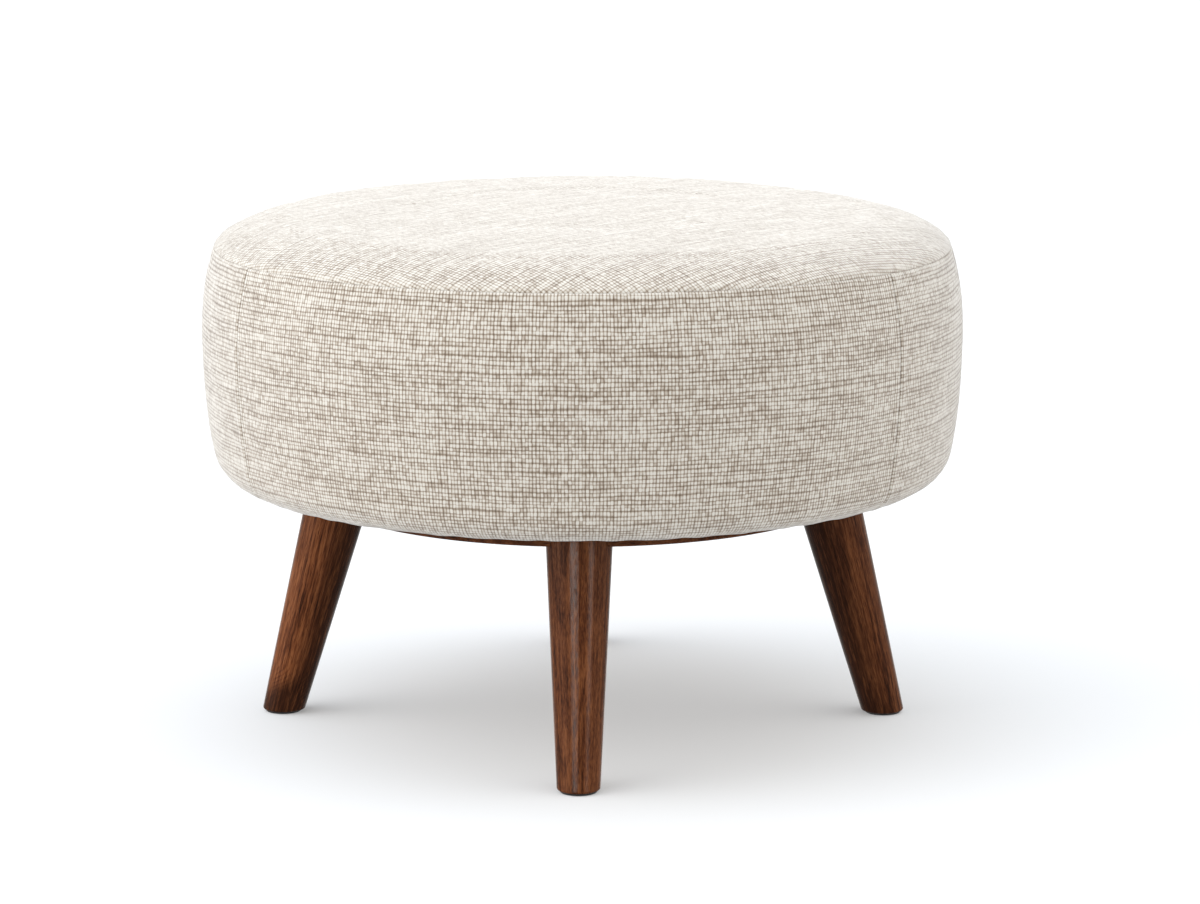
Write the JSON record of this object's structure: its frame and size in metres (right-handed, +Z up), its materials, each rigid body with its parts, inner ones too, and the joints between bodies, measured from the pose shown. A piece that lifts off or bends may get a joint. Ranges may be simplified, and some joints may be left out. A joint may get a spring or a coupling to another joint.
{
  "type": "upholstered stool",
  "caption": "Round drum stool with a crowned, woven-fabric padded seat on a walnut plinth and splayed, tapered walnut legs.",
  "frame": {"origin": "on the floor, below the centre of the seat", "axes": "+Z up, -Y towards the front leg, +X towards the right leg"},
  "size_m": [0.61, 0.61, 0.416],
  "materials": {
    "cover_fabric": "coarse plain weave",
    "wadding": "soft fibre",
    "foam": "open-cell foam",
    "plywood": "raw",
    "pine": "raw",
    "fibreboard": "raw",
    "walnut": "satin lacquer",
    "zinc_steel": "zinc plated",
    "staple_wire": "galvanised",
    "dust_cloth": "non-woven",
    "glide_plastic": "matte"
  },
  "bodies": {
    "root": {"top_panel": "cover_fabric", "side_panel_front": "cover_fabric", "side_panel_right": "cover_fabric", "side_panel_left": "cover_fabric", "wadding_top": "wadding", "wadding_side": "wadding", "seat_foam": "foam", "side_foam": "foam", "seat_board": "plywood", "base_board": "plywood", "drum_wrap": "fibreboard", "seat_board_screws": "zinc_steel", "base_board_screws": "zinc_steel", "drum_wrap_staples": "staple_wire", "cover_staples": "staple_wire", "dust_cover": "dust_cloth", "dust_cover_staples": "staple_wire", "plinth_disc": "walnut", "plinth_screws": "zinc_steel", "glide_nails": "zinc_steel", "frame_post_1": "pine", "frame_post_2": "pine", "frame_post_3": "pine", "frame_post_4": "pine", "frame_post_5": "pine", "frame_post_6": "pine", "frame_post_7": "pine", "frame_post_8": "pine", "leg_front": "walnut", "hanger_bolt_front": "zinc_steel", "pronged_nut_front": "zinc_steel", "glide_front": "glide_plastic", "leg_right": "walnut", "hanger_bolt_right": "zinc_steel", "pronged_nut_right": "zinc_steel", "glide_right": "glide_plastic", "leg_rear": "walnut", "hanger_bolt_rear": "zinc_steel", "pronged_nut_rear": "zinc_steel", "glide_rear": "glide_plastic", "leg_left": "walnut", "hanger_bolt_left": "zinc_steel", "pronged_nut_left": "zinc_steel", "glide_left": "glide_plastic"}
  },
  "joints": []
}
